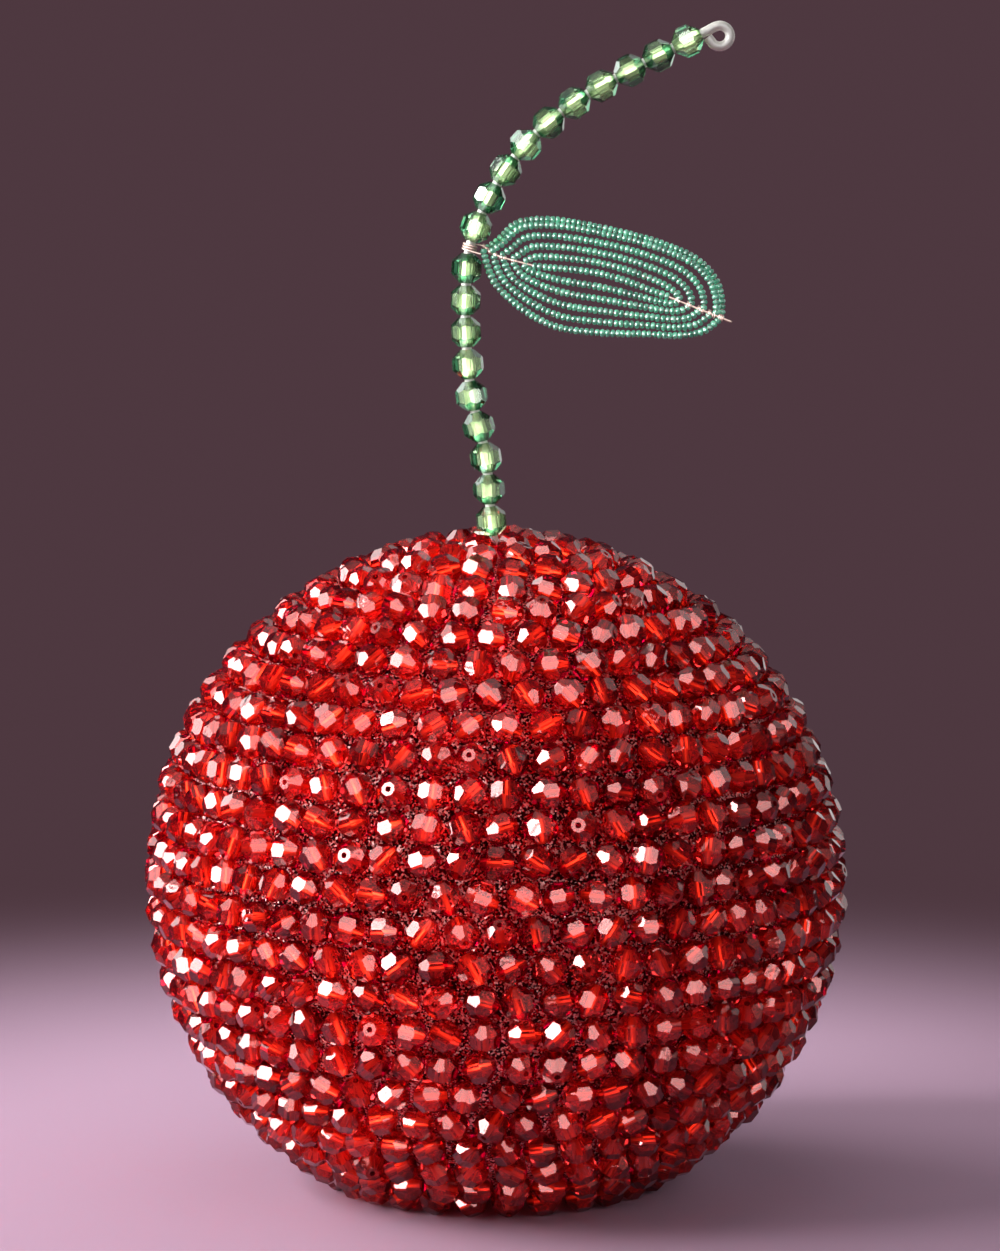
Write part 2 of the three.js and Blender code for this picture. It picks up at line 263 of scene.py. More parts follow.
# Expressions on sockets
def math_operator(operation, reflected=False):
    """A method that adds a maths node for an operator of the language."""

    def method(term, other):
        pair = (other, term) if reflected else (term, other)
        return term.graph.math(operation, *pair)

    return method


class Term:
    """A node's output that can stand in an expression."""

    __add__ = math_operator("ADD")
    __radd__ = math_operator("ADD", reflected=True)
    __sub__ = math_operator("SUBTRACT")
    __rsub__ = math_operator("SUBTRACT", reflected=True)
    __mul__ = math_operator("MULTIPLY")
    __rmul__ = math_operator("MULTIPLY", reflected=True)
    __truediv__ = math_operator("DIVIDE")
    __rtruediv__ = math_operator("DIVIDE", reflected=True)

    def __init__(self, graph, socket):
        self.graph = graph
        self.socket = socket

    def above(self, edge):
        """1 where the value is over the edge, else 0."""
        return self.graph.math("GREATER_THAN", self, edge)


class Graph:
    """A node tree under construction."""

    def __init__(self, tree):
        self.tree = tree

    def plug(self, socket, value):
        """Gives an input its link or its value."""
        if isinstance(value, Term):
            self.tree.links.new(value.socket, socket)
        elif socket.type == "RGBA":
            socket.default_value = (*value, 1)
        else:
            socket.default_value = value

    def node(self, kind, settings=None, inputs=None, output=0):
        """Adds a node, its settings first, and returns one of its outputs, or none for an end."""
        node = self.tree.nodes.new(kind)
        for name, value in (settings or {}).items():
            setattr(node, name, value)
        for name, value in (inputs or {}).items():
            self.plug(node.inputs[name], value)
        return None if output is None else Term(self, node.outputs[output])

    def other(self, term, output):
        """Another output of the node that a term comes from."""
        return Term(self, term.socket.node.outputs[output])

    def math(self, operation, first, second=0.0):
        return self.node("ShaderNodeMath", {"operation": operation}, {0: first, 1: second})

    def vector_math(self, operation, first, second=(0, 0, 0), output=0):
        kind = "ShaderNodeVectorMath"
        return self.node(kind, {"operation": operation}, {0: first, 1: second}, output)

    def scaled(self, vector, scale):
        """A vector times a number."""
        settings = {"operation": "SCALE"}
        return self.node("ShaderNodeVectorMath", settings, {0: vector, "Scale": scale})

    def combine(self, x=0.0, y=0.0, z=0.0):
        return self.node("ShaderNodeCombineXYZ", None, {0: x, 1: y, 2: z})

    def seen(self):
        """1 for rays that show the surroundings: straight, mirrored or through clear beads."""
        path = self.node("ShaderNodeLightPath", output="Is Camera Ray")
        rays = path + self.other(path, "Is Glossy Ray") + self.other(path, "Is Transmission Ray")
        return self.math("MINIMUM", rays, 1.0)


class Finish(Graph):
    """A procedural material under construction."""

    def __init__(self, name):
        self.material = bpy.data.materials.new(name)
        self.material.use_nodes = True
        super().__init__(self.material.node_tree)
        self.tree.nodes.clear()

    def mix(self, share, first, second):
        """A colour that goes from the first to the second."""
        inputs = {0: share, 6: first, 7: second}
        return self.node("ShaderNodeMix", {"data_type": "RGBA"}, inputs, 2)

    def place(self):
        """Where a point of the surface is on its piece, in metres."""
        return self.node("ShaderNodeTexCoord", output="Object")

    def attribute(self, name):
        """A number that the mesh keeps under a name."""
        return self.node("ShaderNodeAttribute", {"attribute_name": name}, output="Fac")

    def noise(self, grain, detail=2.0):
        """Soft patches of about the grain's size, from 0 to 1."""
        inputs = {"Vector": self.place(), "Scale": 1 / grain, "Detail": detail}
        return self.node("ShaderNodeTexNoise", None, inputs)

    def cells(self, grain, output="Color"):
        """Cells of about the grain's size: a random colour, or the distance from the middle."""
        inputs = {"Vector": self.place(), "Scale": 1 / grain}
        return self.node("ShaderNodeTexVoronoi", None, inputs, output)

    def bump(self, height, distance):
        inputs = {"Height": height, "Distance": distance, "Strength": 1.0}
        return self.node("ShaderNodeBump", None, inputs)

    def surface(self, **inputs):
        """The finished shader. Input names have _ for a space."""
        named = {name.replace("_", " "): value for name, value in inputs.items()}
        shader = self.node("ShaderNodeBsdfPrincipled", None, named)
        self.output(shader)
        return self.material

    def output(self, shader):
        """Ends the material with a shader."""
        self.node("ShaderNodeOutputMaterial", None, {"Surface": shader}, None)


class Pattern(Graph):
    """A geometry node tree under construction, with named inputs."""

    def __init__(self, name, inputs):
        super().__init__(bpy.data.node_groups.new(name, "GeometryNodeTree"))
        self.tree.is_modifier = True
        self.keys = {}
        add = self.tree.interface.new_socket
        for label, kind in {"Geometry": "Geometry", **inputs}.items():
            socket = add(label, in_out="INPUT", socket_type="NodeSocket" + kind)
            self.keys[label] = socket.identifier
        add("Geometry", in_out="OUTPUT", socket_type="NodeSocketGeometry")
        self.source = self.tree.nodes.new("NodeGroupInput")

    def given(self, label):
        """The value of a named input."""
        return Term(self, self.source.outputs[label])

    def store(self, geometry, domain, label, value):
        """Keeps a number under a name on each element."""
        settings = {"data_type": "FLOAT", "domain": domain}
        inputs = {"Geometry": geometry, "Name": label, "Value": value}
        return self.node("GeometryNodeStoreNamedAttribute", settings, inputs)

    def stored(self, label):
        """The number kept under a name."""
        settings = {"data_type": "FLOAT"}
        return self.node("GeometryNodeInputNamedAttribute", settings, {"Name": label})

    def random(self, low, high, salt):
        """A random number for each element. The salt makes one draw differ from another."""
        seed = self.given("Seed") + salt
        inputs = {2: low, 3: high, "Seed": seed}
        return self.node("FunctionNodeRandomValue", {"data_type": "FLOAT"}, inputs, 1)

    def turned_on(self, axis, heading, turn):
        """A rotation that lays an axis along the heading, after a turn of its own."""
        kind = "FunctionNodeAlignRotationToVector"
        laid = self.node(kind, {"axis": axis}, {"Vector": heading})
        own = self.node("FunctionNodeEulerToRotation", None, {0: turn})
        settings = {"rotation_space": "LOCAL"}
        return self.node("FunctionNodeRotateRotation", settings, {0: laid, 1: own})

    def instances(self, points, rotation, scale):
        """The given bead on each point, with a random tint of its own."""
        bead = self.node(
            "GeometryNodeObjectInfo", None, {"Object": self.given("Bead"), "As Instance": True},
            "Geometry",
        )
        beads = self.node(
            "GeometryNodeInstanceOnPoints", None,
            {"Points": points, "Instance": bead, "Rotation": rotation, "Scale": scale},
        )
        return self.store(beads, "INSTANCE", "tint", self.random(0.0, 1.0, 90))

    def finish(self, geometry):
        """Makes the result real, gives it the material and ends the tree."""
        real = self.node("GeometryNodeRealizeInstances", None, {0: geometry})
        inputs = {"Geometry": real, "Material": self.given("Material")}
        painted = self.node("GeometryNodeSetMaterial", None, inputs)
        self.node("NodeGroupOutput", None, {0: painted}, None)
        return self

    def build(self, name, mesh, values):
        """A plain object with the tree's result for these inputs."""
        piece = add_object(name, mesh)
        modifier = piece.modifiers.new("pattern", "NODES")
        modifier.node_group = self.tree
        for label, value in values.items():
            modifier[self.keys[label]] = value
        piece.update_tag()
        evaluated = piece.evaluated_get(bpy.context.evaluated_depsgraph_get())
        result = bpy.data.meshes.new_from_object(evaluated)
        piece.modifiers.remove(modifier)
        piece.data = result
        result.name = name
        bpy.data.meshes.remove(mesh)
        if not result.polygons:
            raise RuntimeError(name + " came out empty")
        return piece


# Shapes
def add_object(name, data, material=None):
    """A mesh, light or camera as an object of the scene, with its material if that is known."""
    thing = bpy.data.objects.new(name, data)
    bpy.context.scene.collection.objects.link(thing)
    if material:
        data.materials.append(material)
    return thing


def mesh_of(name, points, edges=(), faces=()):
    """A mesh with these points, edges and faces."""
    mesh = bpy.data.meshes.new(name)
    mesh.from_pydata(points, edges, faces)
    mesh.update()
    return mesh


def smooth(mesh):
    """Shades a mesh smooth, but for its edges over 40 degrees."""
    mesh.polygons.foreach_set("use_smooth", [True] * len(mesh.polygons))
    mesh.set_sharp_from_angle(angle=math.radians(40))


def mesh_from(name, shape):
    """The mesh of a shape that was made with bmesh, with its faces outward."""
    bmesh.ops.recalc_face_normals(shape, faces=shape.faces)
    mesh = bpy.data.meshes.new(name)
    shape.to_mesh(mesh)
    shape.free()
    return mesh


def lathed(name, profile, segments):
    """A closed profile of (distance from the axis, height), turned round the upright axis."""
    shape = bmesh.new()
    corners = [shape.verts.new((out, 0, height)) for out, height in profile]
    edges = [shape.edges.new(pair) for pair in zip(corners, corners[1:] + corners[:1])]
    bmesh.ops.spin(
        shape, geom=corners + edges, cent=(0, 0, 0), axis=(0, 0, 1), angle=2 * math.pi,
        steps=segments, use_merge=True,
    )
    bmesh.ops.remove_doubles(shape, verts=shape.verts, dist=WELD)
    mesh = mesh_from(name, shape)
    smooth(mesh)
    return mesh


def chains(name, paths):
    """A mesh of open chains of edges, one for each list of points."""
    points = []
    edges = []
    for path in paths:
        first = len(points)
        points.extend(path)
        edges.extend((i, i + 1) for i in range(first, len(points) - 1))
    return mesh_of(name, points, edges)


def cut_bead(name, diameter, bead_length, bore):
    """A bead with a middle ring of facets, a staggered ring on either side, flat ends and a bore."""
    sides = 8
    bulge = 1.03
    half = bead_length / 2
    radius = diameter / 2
    shape = bmesh.new()
    bmesh.ops.create_cube(shape, size=4 * radius)
    cuts = [(Vector((0, 0, side)), half) for side in (1, -1)]
    for lean, offset in ((0, 0), (45, 0.5), (-45, 0.5)):
        rise = math.sin(math.radians(lean))
        spread = math.cos(math.radians(lean))
        reach = math.hypot(radius * spread, half * bulge * rise)
        for i in range(sides):
            turn = 2 * math.pi * (i + offset) / sides
            facing = Vector((spread * math.cos(turn), spread * math.sin(turn), rise))
            cuts.append((facing, reach))
    for facing, reach in cuts:
        everything = shape.verts[:] + shape.edges[:] + shape.faces[:]
        cut = bmesh.ops.bisect_plane(
            shape, geom=everything, plane_co=facing * reach, plane_no=facing, clear_outer=True
        )
        rim = [e for e in cut["geom_cut"] if isinstance(e, bmesh.types.BMEdge)]
        bmesh.ops.edgeloop_fill(shape, edges=rim)
    bmesh.ops.remove_doubles(shape, verts=shape.verts, dist=WELD)
    for mark in ("rim", "wall"):
        shape.faces.layers.float.new(mark)
    rims = shape.faces.layers.float["rim"]
    walls = shape.faces.layers.float["wall"]
    shape.normal_update()
    ends = [f for f in shape.faces if abs(f.normal.z) > 0.9]
    bored = bmesh.ops.inset_individual(shape, faces=ends, thickness=1e-4)
    for ring in bored["faces"]:
        ring[rims] = 1
    for end in ends:
        middle = Vector((0, 0, end.calc_center_median().z))
        for corner in end.verts:
            corner.co = middle + (corner.co - middle).normalized() * (bore / 2)
    wall = bmesh.ops.bridge_loops(shape, edges=[e for f in ends for e in f.edges])
    for side in wall["faces"]:
        side[walls] = 1
    bmesh.ops.delete(shape, geom=ends, context="FACES_ONLY")
    bmesh.ops.rotate(shape, verts=shape.verts, matrix=Matrix.Rotation(math.pi / 2, 3, "Y"))
    return add_object(name, mesh_from(name, shape))


def seed_bead(name, diameter, bead_length, bore):
    """A small round bead with a bore, along X."""
    half = bead_length / 2
    inner = bore / 2
    rim = half * 0.8
    profile = [(inner, -rim)]
    for angle in (-66, -33, 0, 33, 66):
        turn = math.radians(angle)
        out = inner + (diameter / 2 - inner) * math.cos(turn) ** 0.85
        profile.append((out, half * math.sin(turn)))
    profile.append((inner, rim))
    mesh = lathed(name, profile, segments=8)
    mesh.transform(Matrix.Rotation(math.pi / 2, 4, "Y"))
    return add_object(name, mesh)


class SmoothPath:
    """A smooth curve through points, evenly paced, read by share of its length."""

    fineness = 200

    def __init__(self, points):
        self.points = [Vector(point) for point in points]
        marks = [self.at_pace(i / self.fineness) for i in range(self.fineness + 1)]
        self.lengths = [0.0]
        for near, far in zip(marks, marks[1:]):
            self.lengths.append(self.lengths[-1] + (far - near).length)

    def at_pace(self, pace):
        """A centripetal Catmull-Rom curve, by share of its points."""
        points = self.points
        last = len(points) - 2
        place = pace * (len(points) - 1)
        index = min(int(place), last)
        weight = place - index
        start, end = points[index], points[index + 1]
        before = points[index - 1] if index else 2 * points[0] - points[1]
        after = points[index + 2] if index < last else 2 * points[-1] - points[-2]
        first = (start - before).length ** 0.5
        middle = (end - start).length ** 0.5
        third = (after - end).length ** 0.5
        leaving = (start - before) / first - (end - before) / (first + middle)
        leaving = (leaving + (end - start) / middle) * middle
        arriving = (end - start) / middle - (after - start) / (middle + third)
        arriving = (arriving + (after - end) / third) * middle
        square = weight * weight
        cube = square * weight
        return (
            start * (2 * cube - 3 * square + 1)
            + end * (3 * square - 2 * cube)
            + leaving * (cube - 2 * square + weight)
            + arriving * (cube - square)
        )

    def length(self):
        return self.lengths[-1]

    def at(self, share):
        target = min(max(share, 0.0), 1.0) * self.length()
        low = min(bisect_right(self.lengths, target), self.fineness) - 1
        step = self.lengths[low + 1] - self.lengths[low]
        return self.at_pace((low + (target - self.lengths[low]) / step) / self.fineness)

    def heading(self, share):
        step = 1e-4
        near = max(share - step, 0)
        far = min(share + step, 1)
        return (self.at(far) - self.at(near)).normalized()

    def marks(self, count):
        return [self.at(i / count) for i in range(count + 1)]


def centre_height(ball):
    """Height of the ball's centre above the flat base."""
    return math.sqrt(ball.coat_radius**2 - ball.flat_radius**2)


def stem_bend(ball):
    """The stem wire above the coat, up to its last bead."""
    top = centre_height(ball) + ball.coat_radius
    return SmoothPath([(side, 0, top + above) for side, above in STEM_BENDS])


class LeafShape:
    """The leaf's curves, from the knot outwards. They lie level and are turned at the end."""

    def __init__(self, ball, leaf):
        self.leaf = leaf
        self.string_radius = leaf.string_diameter / 2
        self.pitch = leaf.string_diameter + leaf.string_gap
        self.start = leaf.knot_reach - UPPER_EDGE[0][1] * self.pitch
        self.centre = SmoothPath([
            (self.start, 0, 0),
            (self.start + leaf.centre_length / 2, 0, leaf.centre_rise),
            (self.start + leaf.centre_length, 0, leaf.tip_rise),
        ])
        bend = stem_bend(ball)
        share = leaf.knot_station / bend.length()
        self.knot = bend.at(share)
        level = Matrix.Rotation(-leaf.droop, 3, "Y")
        self.stem_axis = level @ bend.heading(share)
        self.outward = Vector((0, 1, 0)).cross(self.stem_axis)

    def turned(self, path):
        """Points of the level leaf, brought to the knot and drooped."""
        turn = Matrix.Rotation(self.leaf.droop, 3, "Y")
        return [self.knot + turn @ Vector(point) for point in path]

    def edge(self, outline):
        """An edge of the leaf as a curve."""
        points = []
        for share, forward, up in outline:
            points.append(self.centre.at(share) + Vector((forward, 0, up)) * self.pitch)
        return SmoothPath(points)

    def at_knot(self, out, back, rise):
        """A place at the knot: out from the stem, behind it and up along it."""
        return self.outward * out + Vector((0, back, 0)) + self.stem_axis * rise

    def main_wire(self, stem_radius):
        """The wire wound round the stem, from its short tail to the start of the centre row."""
        leaf = self.leaf
        radius = stem_radius + leaf.wire_diameter / 2 + leaf.clearance / 3
        height = leaf.turns * leaf.turn_pitch
        tail = 0.0024
        climb = tail * leaf.turn_pitch / (2 * math.pi * radius)
        steps = round(leaf.turns * WINDING_STEPS)
        winding = []
        for i in range(steps + 1):
            angle = -math.pi / 2 - 2 * math.pi * leaf.turns * i / steps
            rise = height * (i / steps - 0.5)
            winding.append(self.at_knot(radius * math.cos(angle), radius * math.sin(angle), rise))
        lead = SmoothPath([
            winding[-1],
            self.at_knot(tail, radius, height / 2 + climb),
            (leaf.knot_reach + self.pitch, 0, 0),
            (self.start - leaf.clearance, 0, 0),
        ])
        start = self.at_knot(tail, -radius, -height / 2 - climb)
        return [start] + winding + lead.marks(LEAD_STEPS)[1:]

    def tip_ends(self):
        """Where the tip's wire starts, at the centre row, and where it folds."""
        start = self.centre.at(1)
        edge_end = self.edge(UPPER_EDGE).at(1)
        heading = (edge_end - start).normalized()
        end = edge_end + heading * (self.string_radius + self.leaf.overrun)
        return start + heading * self.leaf.clearance, end

    def tip_wire(self):
        """The middle line of the tip's wire."""
        start, end = self.tip_ends()
        return [start.lerp(end, i / TIP_STEPS) for i in range(TIP_STEPS + 1)]

    def strings(self, wires):
        """The strings' paths, each cut back to where its last bead meets the wires."""
        reach = self.leaf.bead_length / 2
        found = [self.centre.marks(CENTRE_STEPS)]
        for outline, shares in ((UPPER_EDGE, UPPER_SHARES), (LOWER_EDGE, LOWER_SHARES)):
            outer = self.edge(outline)
            for share in shares:
                behind = outline is UPPER_EDGE and share == 1
                depth = self.leaf.string_diameter + 2 * self.leaf.clearance if behind else 0
                path = []
                for i in range(STRING_STEPS + 1):
                    pace = i / STRING_STEPS
                    inner = self.centre.at((1 - math.cos(math.pi * pace)) / 2)
                    path.append(inner.lerp(outer.at(pace), share) + Vector((0, depth, 0)))
                clear = [
                    i for i, point in enumerate(path)
                    if min((point - wire).length for wire in wires) >= reach
                ]
                found.append(path[clear[0]:clear[-1] + 1])
        return found


def wrapped(end, before, wires, wire_radius, thread_radius):
    """A thread that leaves a string's end and goes round the nearest wire."""
    index = min(range(1, len(wires) - 1), key=lambda i: (wires[i] - end).length)
    along = (wires[index + 1] - wires[index - 1]).normalized()
    out = end - wires[index]
    out = (out - along * out.dot(along)).normalized()
    side = along.cross(out)
    radius = wire_radius + thread_radius
    pitch = 2.1 * thread_radius
    turns = 1.6
    steps = 32
    coil = []
    for i in range(steps + 1):
        angle = math.pi / 2 + 2 * math.pi * turns * i / steps
        rise = along * (pitch * turns * (i / steps - 0.5))
        coil.append(wires[index] + rise + (out * math.cos(angle) + side * math.sin(angle)) * radius)
    lead_steps = 12
    lead = SmoothPath([before, end, end.lerp(coil[0], 0.6), coil[0]])
    return lead.marks(lead_steps) + coil[1:]


# Patterns
BEAD_INPUTS = {"Bead": "Object", "Seed": "Int", "Material": "Material"}
BEAD_SIZES = (
    "Diameter", "Pitch", "Crowding", "Stagger", "Along Slip", "Across Slip", "Unevenness"
)


def ball_pattern():
    """Beads in level rows round a ball, each a little out of place and turned at random."""
    inputs = {**BEAD_INPUTS, "Rows": "Int"}
    for label in ("Coat Radius", "Centre Height", "First Angle", "Last Angle", *BEAD_SIZES):
        inputs[label] = "Float"
    pattern = Pattern("Beaded ball", inputs)
    given = pattern.given
    stored = pattern.stored
    rows = pattern.node("GeometryNodePoints", None, {"Count": given("Rows")})
    index = pattern.node("GeometryNodeInputIndex")
    share = index / (given("Rows") - 1)
    eased = share + given("Crowding") * pattern.math("SINE", share * math.tau) / math.tau
    angle = given("First Angle") + (given("Last Angle") - given("First Angle")) * eased
    reach = given("Coat Radius") + given("Diameter") * 0.5
    ring = reach * pattern.math("SINE", angle)
    count = pattern.math("ROUND", ring * math.tau / given("Pitch"))
    for label, value in (("angle", angle), ("count", count), ("row", index)):
        rows = pattern.store(rows, "POINT", label, value)
    spread = pattern.node(
        "GeometryNodeDuplicateElements", {"domain": "POINT"},
        {"Geometry": rows, "Amount": stored("count")},
    )
    number = pattern.other(spread, "Duplicate Index")
    ring = reach * pattern.math("SINE", stored("angle"))
    slip = pattern.random(-1.0, 1.0, 1) * given("Along Slip") / ring
    azimuth = (number + given("Stagger") * stored("row")) * math.tau / stored("count") + slip
    wave = pattern.math("SINE", azimuth * 2 + stored("row") * 1.7) * 0.6
    across = (pattern.random(-1.0, 1.0, 2) + wave) * given("Across Slip")
    polar = stored("angle") + across / reach
    size_share = pattern.random(-1.0, 1.0, 3) * given("Unevenness") + 1
    out = pattern.math("SINE", polar)
    facing = pattern.combine(
        out * pattern.math("COSINE", azimuth),
        out * pattern.math("SINE", azimuth),
        pattern.math("COSINE", polar),
    )
    half = given("Diameter") * 0.5 * size_share
    centre = pattern.scaled(facing, given("Coat Radius") + half * BED_SHARE)
    centre = pattern.vector_math("ADD", centre, pattern.combine(z=given("Centre Height")))
    lowest = pattern.combine(-1.0, -1.0, half * FLOOR_SHARE)
    centre = pattern.vector_math("MAXIMUM", centre, lowest)
    placed = pattern.node(
        "GeometryNodeSetPosition", None, {"Geometry": spread, "Position": centre}
    )
    faces_out = pattern.random(0.0, 1.0, 4).above(LYING_SHARE)
    tilt = pattern.random(-0.3, 0.3, 5) + faces_out * pattern.random(0.9, 1.6, 6)
    roll = pattern.random(0.0, math.tau, 7)
    spin = pattern.random(0.0, math.tau, 8)
    rotation = pattern.turned_on("Z", facing, pattern.combine(roll, tilt, spin))
    beads = pattern.instances(placed, rotation, size_share)
    return pattern.finish(beads)


def string_pattern():
    """Beads along strings, side by side."""
    inputs = {**BEAD_INPUTS, "Pitch": "Float", "Slip": "Float", "Unevenness": "Float"}
    pattern = Pattern("Strung beads", inputs)
    curve = pattern.node("GeometryNodeMeshToCurve", None, {0: pattern.given("Geometry")})
    points = pattern.node(
        "GeometryNodeCurveToPoints", {"mode": "LENGTH"},
        {"Curve": curve, "Length": pattern.given("Pitch")},
    )
    heading = pattern.other(points, "Tangent")
    slip = pattern.random(-1.0, 1.0, 1) * pattern.given("Slip")
    placed = pattern.node(
        "GeometryNodeSetPosition", None,
        {"Geometry": points, "Offset": pattern.scaled(heading, slip)},
    )
    roll = pattern.combine(pattern.random(0.0, math.tau, 2), pattern.random(-0.12, 0.12, 3))
    rotation = pattern.turned_on("X", heading, roll)
    size_share = pattern.random(-1.0, 1.0, 4) * pattern.given("Unevenness") + 1
    return pattern.finish(pattern.instances(placed, rotation, size_share))


def threaded_pattern():
    """One bead at a place on a wire, turned to the wire."""
    inputs = {**BEAD_INPUTS, "Place": "Vector", "Heading": "Vector"}
    pattern = Pattern("Threaded bead", inputs)
    inputs = {"Count": 1, "Position": pattern.given("Place")}
    point = pattern.node("GeometryNodePoints", None, inputs)
    roll = pattern.combine(pattern.random(0.0, math.tau, 1))
    rotation = pattern.turned_on("X", pattern.given("Heading"), roll)
    return pattern.finish(pattern.instances(point, rotation, 1 + pattern.random(-0.01, 0.01, 2)))


def wire_pattern():
    """Round wire along chains of edges, with closed ends."""
    inputs = {"Radius": "Float", "Sides": "Int", "Material": "Material"}
    pattern = Pattern("Bent wire", inputs)
    curve = pattern.node("GeometryNodeMeshToCurve", None, {0: pattern.given("Geometry")})
    section = pattern.node(
        "GeometryNodeCurvePrimitiveCircle", None,
        {"Resolution": pattern.given("Sides"), "Radius": pattern.given("Radius")},
    )
    wire = pattern.node(
        "GeometryNodeCurveToMesh", None,
        {"Curve": curve, "Profile Curve": section, "Fill Caps": True},
    )
    return pattern.finish(wire)


def wires(name, paths, radius, material, sides):
    """A piece of round wire along each path."""
    values = {"Radius": radius, "Sides": sides, "Material": material}
    piece = wire_pattern().build(name, chains(name, paths), values)
    smooth(piece.data)
    return piece


# Finishes
def darker(shade, share):
    """A colour taken down to a share of its light."""
    return [share * part for part in shade]


def foam_finish(ball):
    """White foam of small closed cells, with painted shade darkening each cell towards its sunken
    edge.
    """
    paint = Finish("Foam")
    cell = paint.cells(0.0011, "Distance")
    # Painted shade: darker towards each cell's edge, where the bump sinks.
    shade = paint.mix(cell, ball.foam, darker(ball.foam, 0.72))
    return paint.surface(
        Base_Color=shade, Roughness=0.7 + 0.2 * cell, Normal=paint.bump(1 - cell, 0.0003)
    )


def glitter_finish(ball):
    """Grains of glitter in red glue, each facing its own way; the darkest grains carry painted shade
    as well as their own dark colour, and the palest are painted glints.
    """
    paint = Finish("Glitter")
    grain = paint.cells(ball.grain)
    red_part = paint.node("ShaderNodeSeparateColor", None, {0: grain})
    chance = red_part + 0.5 * (paint.noise(0.012) - 0.5)
    # The pink grains mix in part of the painted glint colour.
    pink = [0.7 * a + 0.3 * b for a, b in zip(ball.glitter_red, ball.glitter_painted_glint)]
    brightest = 0.78
    colours = ball.glitter_dark_and_shade
    for edge, shade in ((0.42, ball.glitter_red), (0.62, pink), (brightest, ball.glitter_painted_glint)):
        colours = paint.mix(chance.above(edge), colours, shade)
    lean = paint.vector_math("SUBTRACT", grain, (0.5, 0.5, 0.5))
    outward = paint.node("ShaderNodeNewGeometry", output="Normal")
    facing = paint.vector_math("ADD", outward, paint.scaled(lean, 1.2))
    return paint.surface(
        Base_Color=colours,
        Metallic=0.15 * chance.above(brightest),
        Roughness=0.25 + 0.3 * paint.other(red_part, 1),
        Specular_IOR_Level=0.0,
        Normal=paint.vector_math("NORMALIZE", facing),
    )


def clear_bead_finish(name, dark, light, wall, mirror, lightness, depth, clearness):
    """Cast clear plastic: a little cloudy, and darker on facets seen aslant, partly for the longer
    path through the plastic and partly as painted shade at the rims.
    """
    paint = Finish(name)
    slant = paint.node("ShaderNodeLayerWeight", None, {"Blend": 0.6}, "Facing")
    cloud = paint.noise(0.0028)
    # Painted shade: facets seen aslant are pulled towards the dark colour, by as much as depth says.
    tone_and_rim_shade = lightness + 0.55 * paint.attribute("tint") + cloud - depth * slant
    body = paint.mix(tone_and_rim_shade, dark, light)
    inside = paint.node("ShaderNodeNewGeometry", output="Backfacing")
    mirrored = inside * paint.attribute("wall")
    body = paint.mix(mirrored * 0.9, body, wall)
    marks = paint.noise(0.0014, 1.0)
    rough = 0.02 + 0.04 * marks + 0.12 * paint.attribute("rim") + 0.25 * mirrored
    return paint.surface(
        Base_Color=body,
        Metallic=mirrored,
        Roughness=rough,
        Normal=paint.bump(marks, 0.00002),
        Transmission_Weight=clearness,
        IOR=1.5,
        Specular_IOR_Level=1.0,
        Specular_Tint=mirror,
        Coat_Weight=0.15,
        Coat_Roughness=0.02,
        Coat_IOR=1.7,
    )


def seed_finish(leaf):
    """Small glass beads, from deep green to mint."""
    paint = Finish("Seed glass")
    tint = paint.attribute("tint")
    patches = paint.noise(0.004, 1.0)
    body = paint.mix(tint * 0.7 + patches * 0.9 + 0.04, leaf.deep, leaf.mint)
    return paint.surface(
        Base_Color=body,
        Roughness=0.08 + 0.1 * patches,
        Normal=paint.bump(paint.noise(0.0006), 0.00002),
        Transmission_Weight=0.15,
        IOR=1.5,
        Coat_Weight=0.4,
        Coat_Roughness=0.15,
        Coat_IOR=1.5,
    )


def coating_finish(stem):
    """Cream coating on wire, with fine marks from the pliers."""
    paint = Finish("Stem coating")
    marks = paint.noise(0.0009, 4.0)
    soil = paint.noise(0.006)
    shade = paint.mix(soil * marks * 0.7, stem.coating, darker(stem.coating, 0.6))
    return paint.surface(
        Base_Color=shade, Roughness=0.32 + 0.2 * marks, Normal=paint.bump(marks, 0.00004)
    )


def copper_finish(leaf):
    """Drawn pink copper wire with a little tarnish."""
    paint = Finish("Leaf wire")
    streaks = paint.noise(0.0007, 3.0)
    tarnish = paint.noise(0.003)
    shade = paint.mix(tarnish * 0.6, leaf.copper, darker(leaf.copper, 0.5))
    return paint.surface(
        Base_Color=shade,
        Metallic=1.0,
        Roughness=0.35 + 0.25 * streaks,
        Normal=paint.bump(streaks, 0.00001),
    )


def stage_finish(stage):
    """Matt board with a painted pool of light: pale round the object and as dark as the backdrop away
    from it.
    """
    paint = Finish("Floor board")
    distance = paint.vector_math("LENGTH", paint.place(), output=1)
    away = paint.node(
        "ShaderNodeMapRange", {"interpolation_type": "SMOOTHSTEP"},
        {"Value": distance, "From Min": stage.fade_start, "From Max": stage.fade_end},
    )
    patches = paint.noise(0.3)
    pale = paint.mix(patches * 0.1, stage.floor, darker(stage.floor, 0.85))
    # Painted pool of light: the floor darkens to the backdrop's colour away from the object.
    shade = paint.mix(away, pale, stage.glow)
    inputs = {"Base Color": shade, "Roughness": 0.8 + 0.1 * patches, "Specular IOR Level": 0.0}
    board = paint.node("ShaderNodeBsdfPrincipled", None, inputs)
    glow = paint.node("ShaderNodeEmission", None, {"Color": stage.glow})
    share = away * paint.seen()
    paint.output(paint.node("ShaderNodeMixShader", None, {0: share, 1: board, 2: glow}))
    return paint.material


# Pieces
def settle(piece, body, nodes):
    """Puts a finished piece on the body it rides on and hides the parts it stands for."""
    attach(piece, body)
    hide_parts(*nodes)


